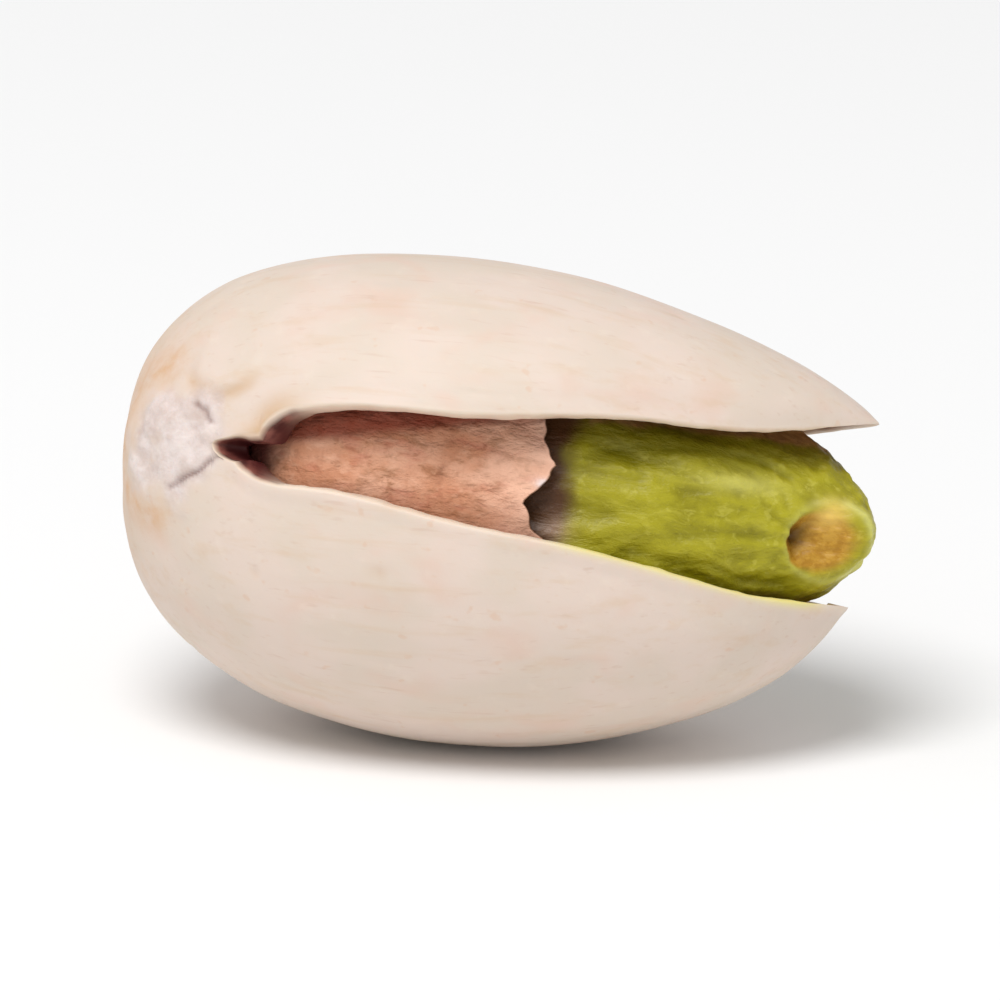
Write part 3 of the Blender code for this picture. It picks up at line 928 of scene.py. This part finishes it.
def shell_finish():
    """Cream nut shell: faint long streaks, pink and tan clouds, a rough white scar with painted shade in its
    hollows, an ochre stem end, painted tan shade at the lip, under the lobe and in the dimples, rims made
    pale by a painted highlight, painted shade on the crack's walls, painted yellow light on the lower rim and
    a smoother tan lining."""
    look = Recipe("nut_shell")
    clouds = look.grain((3.2, 2.4, 2.4), 2.0, 0.5)
    blush = look.grain((2.2, 1.5, 1.5), 2.0, 0.5, 0.4)
    streaks = look.grain((6.0, 0.5, 0.5), 4.0, 0.6, 0.3)
    mottle = look.grain((0.7, 0.5, 0.5), 4.0, 0.6)
    freckles = look.grain((0.55, 0.42, 0.42), 2.0, 0.5)
    smudges = look.grain((1.5, 0.16, 0.16), 2.0, 0.5, 0.2)
    colour = look.blend(look.spread(clouds, 0.38, 0.62), linear(217, 201, 186), linear(222, 204, 191))
    colour = look.tint(colour, look.spread(blush, 0.5, 0.78), 0.5, (222, 190, 172))
    colour = look.tint(colour, look.spread(smudges, 0.6, 0.8), 0.28, (196, 160, 136))
    colour = look.tint(colour, look.spread(streaks, 0.5, 0.72), 0.35, (212, 184, 154))
    colour = look.tint(colour, look.spread(mottle, 0.55, 0.8), 0.22, (234, 222, 206))
    colour = look.tint(colour, look.spread(freckles, 0.66, 0.76), 0.35, (214, 174, 142))
    colour = look.tint(colour, look.mark("stem"), 0.5, (216, 176, 138))
    colour = look.tint(colour, look.mark("ring"), look.spread(mottle, 0.2, 0.8), (212, 170, 130))
    # Painted tan shade on the rounded lip, under the lobe and in the dimples
    colour = look.tint(colour, look.mark("tan"), 0.8, (200, 162, 120))
    scar_tone = look.blend(look.spread(mottle, 0.3, 0.7), linear(204, 186, 180), linear(230, 218, 216))
    colour = look.blend(look.times(look.mark("scar"), 0.75), colour, scar_tone)
    # Painted shade in the scar's hollows
    colour = look.tint(colour, look.mark("low"), 0.5, (190, 164, 152))
    rim_tone = look.blend(look.spread(streaks, 0.4, 0.7), linear(226, 206, 186), linear(214, 184, 158))
    rim_tone = look.tint(rim_tone, look.spread(look.mark("deep"), 0.3, 0.9), 0.8, (158, 104, 78))
    colour = look.blend(look.mark("rim"), colour, rim_tone)
    # Painted highlight along the near split's edges, then painted yellow light reflected onto the lower rim
    colour = look.tint(colour, look.mark("pale"), 0.4, (240, 222, 204))
    colour = look.tint(colour, look.mark("glow"), 0.8, (226, 216, 112))
    lining = look.blend(look.spread(clouds, 0.35, 0.65), linear(206, 166, 126), linear(188, 142, 104))
    colour = look.blend(look.mark("inside"), colour, lining)
    # Painted shade on the crack's walls at the slot's end, darker deeper into the wall
    channel_tone = look.blend(look.spread(mottle, 0.35, 0.65), linear(150, 90, 78), linear(72, 28, 26))
    channel_tone = look.blend(look.spread(look.mark("deep"), 0.2, 0.7), channel_tone, linear(84, 32, 32))
    colour = look.blend(look.mark("channel_painted_shade"), colour, channel_tone)
    colour = look.tint(colour, look.mark("crack"), 0.65, (126, 88, 80))
    roughness = look.plus(look.times(mottle, 0.2), 0.42)
    height = look.plus(look.times(streaks, 0.5), look.times(mottle, 0.5))
    normal = look.bump(height, 0.03, 0.4)
    grit = look.grain((0.16, 0.16, 0.16), 3.0, 0.65)
    normal = look.bump(look.times(grit, look.plus(look.mark("scar"), 0.1)), 0.05, 0.7, normal)
    return look.finish(colour, roughness, normal, Subsurface_Weight=0.12, Subsurface_Radius=(1.0, 0.6, 0.4),
                       Subsurface_Scale=0.5 * MM, Specular_IOR_Level=0.35)


def kernel_finish():
    """Yellow-green kernel: painted highlights on the ridges and painted shade in the furrows, pale dashes,
    painted shade in the creases and over the top, a brown film along the top, an orange-brown pit, darkened
    on one side by painted shade at its deepest place and lit on the other by a painted highlight, with a
    painted highlight round its rim, and brown flesh where the skin ends, partly its own tint and partly
    painted shade under the skin's lifted edge."""
    look = Recipe("kernel_flesh")
    clouds = look.grain((2.4, 1.0, 1.0), 3.0, 0.6)
    veins = look.grain((1.6, 0.3, 0.3), 4.0, 0.65, 0.9)
    blotches = look.grain((0.5, 0.3, 0.3), 3.0, 0.6, 0.4)
    dots = look.grain((0.24, 0.18, 0.18), 3.0, 0.6)
    # Painted highlights on the ridges and painted shade in the furrows
    colour = look.blend(look.spread(look.mark("ridge"), 0.0, 0.9), linear(136, 128, 4), linear(170, 162, 30))
    colour = look.tint(colour, look.spread(clouds, 0.4, 0.65), 0.3, (152, 144, 12))
    colour = look.tint(colour, look.spread(veins, 0.52, 0.72), 0.5, (188, 180, 62))
    colour = look.tint(colour, look.spread(blotches, 0.56, 0.7), 0.5, (198, 190, 78))
    colour = look.tint(colour, look.spread(dots, 0.6, 0.72), 0.35, (130, 122, 10))
    colour = look.tint(colour, look.mark("shaded"), 0.7, (92, 78, 0))
    # Painted highlight on the kernel's upper middle
    colour = look.tint(colour, look.mark("kernel_painted_highlight"), 0.55, (216, 210, 114))
    # Painted shade in the creases
    colour = look.tint(colour, look.mark("crease"), 0.55, (104, 98, 2))
    # Painted highlight round the pit's rim
    colour = look.tint(colour, look.mark("pit_rim_highlight"), 0.65, (220, 218, 132))
    pit_tone = look.blend(look.spread(dots, 0.35, 0.65), linear(172, 124, 30), linear(192, 146, 50))
    # Painted shade at the pit's deepest place, on its steep side
    pit_tone = look.tint(pit_tone, look.mark("pit_painted_shade"), 0.95, (84, 52, 2))
    colour = look.blend(look.mark("pit"), colour, pit_tone)
    # Painted highlight on the pit's lit wall
    colour = look.tint(colour, look.mark("pit_painted_highlight"), 0.75, (238, 202, 106))
    film_tone = look.blend(look.spread(veins, 0.4, 0.65), linear(132, 84, 50), linear(170, 122, 82))
    colour = look.blend(look.times(look.mark("film"), 0.75), colour, film_tone)
    # Brown flesh where the skin ends: partly its own tint, partly painted shade under the skin's lifted edge
    colour = look.blend(look.mark("brown"), colour, linear(86, 54, 30))
    colour = look.tint(colour, look.mark("beige"), 0.55, (190, 158, 132))
    height = look.plus(look.times(veins, 0.6), look.plus(look.times(blotches, 0.5), look.times(dots, 0.35)))
    normal = look.bump(height, 0.09, 0.8)
    roughness = look.plus(look.times(clouds, 0.15), 0.34)
    return look.finish(colour, roughness, normal, Subsurface_Weight=0.15, Subsurface_Radius=(1.0, 0.9, 0.25),
                       Subsurface_Scale=0.6 * MM, Specular_IOR_Level=0.32)


def skin_finish():
    """Dry papery skin: pinkish brown with fibres, dark specks and a pale torn edge, painted highlights on its
    folds, and painted shade under the upper rim, towards the lower rim and at its start in the opening.
    """
    look = Recipe("seed_skin_paper")
    clouds = look.grain((1.3, 0.8, 0.8), 2.0, 0.5)
    fibres = look.grain((0.22, 0.6, 0.6), 2.0, 0.5, 0.3)
    specks = look.grain((0.6, 0.3, 0.3), 3.0, 0.6, 0.3)
    tufts = look.grain((0.9, 0.45, 0.45), 2.0, 0.5)
    flecks = look.grain((0.45, 0.22, 0.22), 3.0, 0.6)
    colour = look.blend(look.spread(clouds, 0.35, 0.65), linear(226, 172, 142), linear(208, 146, 112))
    colour = look.tint(colour, look.spread(fibres, 0.5, 0.75), 0.25, (166, 100, 72))
    colour = look.tint(colour, look.spread(specks, 0.5, 0.68), 0.6, (156, 104, 68))
    colour = look.tint(colour, look.spread(tufts, 0.5, 0.72), 0.35, (192, 104, 86))
    colour = look.tint(colour, look.spread(flecks, 0.5, 0.72), 0.4, (240, 190, 160))
    # Painted highlight on the crests of the folds
    colour = look.tint(colour, look.spread(look.mark("fold"), 0.5, 0.95), 0.5, (232, 184, 158))
    colour = look.tint(colour, look.mark("edge"), 0.7, (250, 206, 182))
    colour = look.tint(colour, look.mark("flake"), 0.9, (236, 226, 226))
    # Painted shade towards the lower rim, under the upper rim, and at the skin's start in the opening
    colour = look.tint(colour, look.mark("lower"), 0.5, (136, 86, 56))
    colour = look.tint(colour, look.mark("upper"), 0.85, (140, 54, 34))
    colour = look.tint(colour, look.mark("start"), 0.9, (112, 50, 46))
    colour = look.blend(look.mark("inside"), colour, linear(130, 88, 68))
    colour = look.tint(colour, look.mark("crack"), 0.75, (96, 50, 34))
    height = look.plus(look.times(fibres, 0.3), look.plus(specks, look.times(flecks, 0.6)))
    normal = look.bump(height, 0.16, 0.75)
    return look.finish(colour, look.plus(look.times(specks, 0.2), 0.62), normal, Specular_IOR_Level=0.3)


def floor_finish():
    """Plain white ground."""
    look = Recipe("white_ground")
    look.place = look.add("ShaderNodeTexCoord").outputs["Object"]
    tone = look.blend(look.grain((0.06, 0.06, 0.06)), (0.90, 0.90, 0.90, 1.0), (0.92, 0.92, 0.92, 1.0))
    normal = look.bump(look.grain((0.0004, 0.0004, 0.0004)), 0.01, 0.2)
    return look.finish(tone, 0.7, normal, Specular_IOR_Level=0.2)


def make_floor():
    """A wide pale ground just under the nut."""
    mesh = bpy.data.meshes.new("floor")
    corners = [(x * FLOOR_HALF, y * FLOOR_HALF, -FLOOR_DROP) for x, y in ((-1, -1), (1, -1), (1, 1), (-1, 1))]
    mesh.from_pydata(corners, [], [(0, 1, 2, 3)])
    mesh.materials.append(floor_finish())
    floor = bpy.data.objects.new("floor", mesh)
    bpy.context.collection.objects.link(floor)


def make_lights():
    """Even white surroundings and one broad soft light overhead, a little to the front left."""
    world = bpy.data.worlds.new("white_studio")
    world.use_nodes = True
    background = world.node_tree.nodes["Background"]
    background.inputs["Color"].default_value = (1.0, 1.0, 1.0, 1.0)
    background.inputs["Strength"].default_value = SURROUNDINGS
    bpy.context.scene.world = world
    lamp = bpy.data.lights.new("softbox", "AREA")
    lamp.shape = "DISK"
    lamp.size = LAMP_SIZE
    lamp.energy = LAMP_POWER
    light = bpy.data.objects.new("softbox", lamp)
    light.location = LAMP_PLACE
    light.rotation_mode = "QUATERNION"
    light.rotation_quaternion = (-light.location).to_track_quat("-Z", "Y")
    bpy.context.collection.objects.link(light)


def make_camera(pieces):
    """A long lens at the photograph's angle, aimed at the middle of the nut's outline."""
    turned, raised = math.radians(AZIMUTH), math.radians(ELEVATION)
    level = Vector((math.sin(turned), -math.cos(turned), 0.0))
    back = level * math.cos(raised) + Vector((0.0, 0.0, math.sin(raised)))
    right = Vector((math.cos(turned), math.sin(turned), 0.0))
    up = back.cross(right)
    points = np.array([piece.matrix_world @ vertex.co for piece in pieces for vertex in piece.data.vertices])
    aim = Vector((0.0, 0.0, 0.0))
    for direction in (right, up):
        seen = points @ np.array(direction)
        aim += direction * float(seen.min() + seen.max()) / 2
    lens = bpy.data.cameras.new("camera")
    lens.lens = LENS
    lens.sensor_width = SENSOR
    lens.clip_start = CLIP_START
    camera = bpy.data.objects.new("camera", lens)
    camera.rotation_mode = "QUATERNION"
    camera.location = aim + back * (LENS / SENSOR * FRAME_WIDTH * MM)
    camera.rotation_quaternion = (-back).to_track_quat("-Z", "Y")
    bpy.context.collection.objects.link(camera)
    bpy.context.scene.camera = camera


def push_out(points, faces, relief):
    """The points of a mesh, each moved outwards by its relief."""
    return points + normals_of(points, faces) * relief[:, None]


def make_shell(pose):
    """The nut's shell."""
    patches, clear, depth = shell_patches()
    points, faces, kind, first = weld(patches)
    relief, marks = shell_relief(points, kind, clear[first], depth[first])
    points = push_out(points, faces, relief)
    return make_piece("nut_shell", "shell", points, faces, marks, pose, shell_finish())


def make_kernel(pose):
    """The green kernel."""
    points, faces = weld(kernel_patches())[:2]
    relief, marks = kernel_relief(points)
    points = press_pit(push_out(points, faces, relief))
    return make_piece("green_kernel", "kernel", points, faces, marks, pose, kernel_finish())


def make_skin(pose):
    """The torn papery skin round the kernel."""
    points, faces, kind = weld(skin_patches())[:3]
    relief, marks = skin_relief(points, kind)
    points = push_out(points, faces, relief)
    return make_piece("papery_skin", "seed_skin", points, faces, marks, pose, skin_finish())


def main():
    pose = nut_pose()
    pieces = [make_shell(pose), make_kernel(pose), make_skin(pose)]
    make_floor()
    make_lights()
    make_camera(pieces)
    bpy.context.scene.view_settings.view_transform = "Standard"


main()
